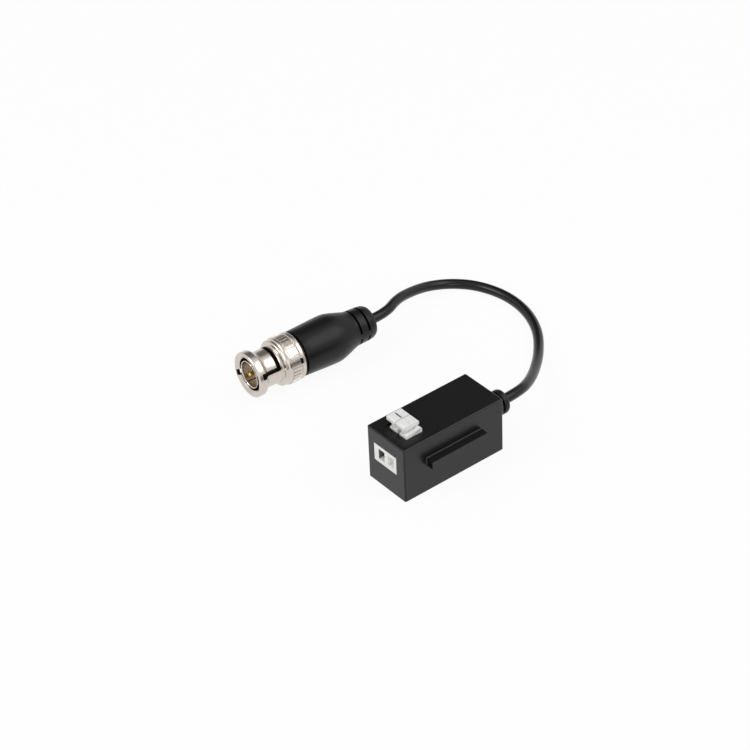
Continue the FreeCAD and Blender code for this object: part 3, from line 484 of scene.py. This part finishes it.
# The same plate with painted shade: darker and duller down in slots and bores, where shade falls
painted_shade_nickel, tree, coords = material("nickel_painted_shade")
shade_mottle = add(tree, "ShaderNodeTexNoise", {"Vector": coords}, Scale=1 / (1.5 * MM), Detail=3)
colour = add(tree, "ShaderNodeMix", {"Factor": shade_mottle}, data_type="RGBA")
colour.inputs["A"].default_value = linear("#3e342c")
colour.inputs["B"].default_value = linear("#50443b")
rough = add(tree, "ShaderNodeMapRange", {"Value": shade_mottle}, To_Min=0.45, To_Max=0.6)
surface(tree, {"Base Color": colour.outputs["Result"], "Roughness": rough}, Metallic=1.0)

# The same nylon down in the dark entry and in a lever's deep groove: grey, for little light comes back out
shade, tree, coords = material("shaded_white_nylon")
blur = add(tree, "ShaderNodeTexNoise", {"Vector": coords}, Scale=1 / (1.2 * MM), Detail=2)
colour = add(tree, "ShaderNodeMix", {"Factor": blur}, data_type="RGBA")
colour.inputs["A"].default_value = linear("#4c4c4e")
colour.inputs["B"].default_value = linear("#626264")
rough = add(tree, "ShaderNodeMapRange", {"Value": blur}, To_Min=0.45, To_Max=0.55)
surface(tree, {"Base Color": colour.outputs["Result"], "Roughness": rough}, IOR=1.53)

# Gold flash on a turned pin: yellow, bright, a little worn
gold, tree, coords = material("flash_gold")
wear = add(tree, "ShaderNodeTexNoise", {"Vector": coords}, Scale=1 / (0.6 * MM), Detail=3)
colour = add(tree, "ShaderNodeMix", {"Factor": wear}, data_type="RGBA")
colour.inputs["A"].default_value = linear("#c9a24a")
colour.inputs["B"].default_value = linear("#e0bd66")
rough = add(tree, "ShaderNodeMapRange", {"Value": wear}, To_Min=0.2, To_Max=0.32)
surface(tree, {"Base Color": colour.outputs["Result"], "Roughness": rough}, Metallic=1.0)

# Polypropylene insulator: waxy tan plastic, deep in the plug's mouth
insulator, tree, coords = material("turned_tan_polypropylene")
tone = add(tree, "ShaderNodeTexNoise", {"Vector": coords}, Scale=1 / (0.8 * MM), Detail=3)
colour = add(tree, "ShaderNodeMix", {"Factor": tone}, data_type="RGBA")
colour.inputs["A"].default_value = linear("#c9bba0")
colour.inputs["B"].default_value = linear("#d8cbb1")
rough = add(tree, "ShaderNodeMapRange", {"Value": tone}, To_Min=0.4, To_Max=0.5)
surface(tree, {"Base Color": colour.outputs["Result"], "Roughness": rough}, IOR=1.49)


def plain(name, low, high, grain_mm, rough_low, rough_high, **settings):
    """A hidden piece's material: two tones and a varied gloss at its grain's size."""
    made, tree, coords = material(name)
    grain = add(tree, "ShaderNodeTexNoise", {"Vector": coords}, Scale=1 / (grain_mm * MM), Detail=3)
    colour = add(tree, "ShaderNodeMix", {"Factor": grain}, data_type="RGBA")
    colour.inputs["A"].default_value = linear(low)
    colour.inputs["B"].default_value = linear(high)
    rough = add(tree, "ShaderNodeMapRange", {"Value": grain}, To_Min=rough_low, To_Max=rough_high)
    bump = add(tree, "ShaderNodeBump", {"Height": grain}, Strength=0.1, Distance=0.02 * MM)
    surface(tree, {"Base Color": colour.outputs["Result"], "Roughness": rough, "Normal": bump}, **settings)
    return made


# Pressed spring steel, rolled: cool grey
steel = plain("rolled_spring_steel", "#9a9a9a", "#b4b4b3", 0.4, 0.25, 0.35, Metallic=1.0)
# Tin on brass strip: dull silvery
tinned = plain("tinned_brass", "#b9b5aa", "#c9c5ba", 0.5, 0.3, 0.42, Metallic=1.0)
# Sintered ferrite: dark grey, fine and matt
ferrite = plain("sintered_ferrite", "#2b2b2c", "#39393a", 0.2, 0.6, 0.75, IOR=1.6)
# Enamelled copper wire: red-brown gloss
copper = plain("enamelled_copper", "#9a4a22", "#b8622f", 0.3, 0.2, 0.3, Metallic=1.0)
# Glass-epoxy laminate under green solder mask
laminate = plain("green_glass_epoxy", "#1c5a30", "#236b3a", 0.5, 0.3, 0.42, IOR=1.55)
# Glazed alumina body of the arrester
alumina = plain("glazed_alumina", "#dcdad2", "#e6e4dc", 0.6, 0.15, 0.25, IOR=1.6)
# Silicone gasket: red-brown and matt
silicone = plain("moulded_silicone", "#5c1512", "#6d1b16", 0.4, 0.5, 0.6, IOR=1.43)

LOOKS = {
    "housing_cover": abs_black, "housing_base": abs_black, "circuit_board": laminate,
    "ferrite_core": ferrite, "winding_line": copper, "winding_cable": copper, "surge_arrester": alumina,
    "lever_pin": steel, "clamp_spring_left": steel, "clamp_spring_right": steel,
    "contact_bar_left": tinned, "contact_bar_right": tinned, "plug_body": nickel, "wave_washer": steel,
    "gasket": silicone, "crimp_ferrule": nickel,
}
for node, look in LOOKS.items():
    dress(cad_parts[node], look)

PIECES = [
    (lead, jacket, "cable", "box", "black_vinyl"),
    (boot, boot_pvc, "plug_boot", "box", "black_vinyl"),
    (gland, boot_pvc, "cable_gland", "box", "black_vinyl"),
    (nut, nickel, "coupling_nut", "bayonet_nut", "nickel"),
    (sleeve, nickel, "contact_sleeve", "box", "nickel"),
    (core, insulator, "insulator", "box", "insulator_plastic"),
    (pin, gold, "centre_pin", "box", "gold_plate"),
    (terminal, nylon, "terminal_housing", "box", "white_plastic"),
    (levers["left"], nylon, "lever_left", "left_lever", "white_plastic"),
    (levers["right"], nylon, "lever_right", "right_lever", "white_plastic"),
]
for piece, look, node, body, slot in PIECES:
    dress(piece, look)
    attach(piece, body)
    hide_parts(node)
# Painted shade on the second slots: darker nickel in the nut and sleeve, grey nylon in the left entry and
# the left lever's groove
for piece, look in ((nut, painted_shade_nickel), (sleeve, painted_shade_nickel), (terminal, shade), (levers["left"], shade)):
    piece.material_slots[1].material = look


# Floor: white to the camera and in reflections, where it still takes a little shadow
GLOW_SHARE = 0.93
deselect()
bpy.ops.mesh.primitive_plane_add(size=6, location=(0, 0, -0.05 * MM))
floor = bpy.context.object
floor.name = "floor"
bpy.ops.object.transform_apply(location=True)
paper, tree, coords = material("white_paper_sweep")
mottle = add(tree, "ShaderNodeTexNoise", {"Vector": coords}, Scale=40, Detail=2)
colour = add(tree, "ShaderNodeMix", {"Factor": mottle}, data_type="RGBA")
colour.inputs["A"].default_value = linear("#f4f4f4")
colour.inputs["B"].default_value = linear("#f8f8f8")
diffuse = add(tree, "ShaderNodeBsdfDiffuse", {"Color": colour.outputs["Result"]})
glow = add(tree, "ShaderNodeEmission", {}, Color=(1, 1, 1, 1), Strength=1.0)
rays = add(tree, "ShaderNodeLightPath")
seen = add(tree, "ShaderNodeMath", {0: rays.outputs["Is Camera Ray"], 1: rays.outputs["Is Glossy Ray"]},
           operation="MAXIMUM")
both = add(tree, "ShaderNodeMath", {0: seen, 1: rays.outputs["Is Transmission Ray"]}, operation="MAXIMUM")
share = add(tree, "ShaderNodeMath", {0: both}, operation="MULTIPLY")
share.inputs[1].default_value = GLOW_SHARE
mixed = add(tree, "ShaderNodeMixShader", {0: share, 1: diffuse, 2: glow})
add(tree, "ShaderNodeOutputMaterial", {"Surface": mixed})
dress(floor, paper)


# World: white behind everything for the camera. Reflections see a pale studio that is dim in one direction,
# up behind the box on the left, where the box's top mirrors it. Other light comes evenly from all round.
DIM_SIDE = (-0.66, 0.4, 0.635)
ROUND_LIGHT = 0.55
world = bpy.data.worlds.new("studio")
bpy.context.scene.world = world
world.use_nodes = True
tree = world.node_tree
tree.nodes.clear()
aim = add(tree, "ShaderNodeTexCoord").outputs["Generated"]
nearness = add(tree, "ShaderNodeVectorMath", {0: aim}, operation="DOT_PRODUCT")
nearness.inputs[1].default_value = DIM_SIDE
level = add(tree, "ShaderNodeMapRange", {"Value": nearness.outputs["Value"]}, From_Min=0.82, From_Max=0.96,
            To_Min=0.85, To_Max=0.16, interpolation_type="SMOOTHSTEP")
rays = add(tree, "ShaderNodeLightPath")
gloss = add(tree, "ShaderNodeMix", {"Factor": rays.outputs["Is Glossy Ray"], "B": level}, data_type="FLOAT")
gloss.inputs["A"].default_value = ROUND_LIGHT
seen = rays.outputs["Is Camera Ray"]
strength = add(tree, "ShaderNodeMix", {"Factor": seen, "A": gloss}, data_type="FLOAT")
strength.inputs["B"].default_value = 1.0
back = add(tree, "ShaderNodeBackground", {"Strength": strength}, Color=(1, 1, 1, 1))
add(tree, "ShaderNodeOutputWorld", {"Surface": back})


# Lamps: soft boxes
AIM = Vector((-0.03, 0.02, 0.01))


def softbox(name, place, watts, width, height):
    """An area lamp that faces the part. Its place and sides are in metres, its power in watts."""
    lamp = bpy.data.lights.new(name, "AREA")
    lamp.shape = "RECTANGLE"
    lamp.size = width
    lamp.size_y = height
    lamp.energy = watts
    holder = bpy.data.objects.new(name, lamp)
    holder.location = place
    holder.rotation_euler = (AIM - Vector(place)).to_track_quat("-Z", "Y").to_euler()
    bpy.context.scene.collection.objects.link(holder)


softbox("key_front_left", (-0.35, -0.75, 0.75), 3.0, 0.5, 0.4)
softbox("fill_right", (0.9, -0.5, 0.35), 1.5, 0.6, 0.4)
softbox("sky_back_right", (0.57, 0.52, 0.92), 4.1, 0.9, 0.9)

bpy.context.scene.view_settings.view_transform = "Standard"
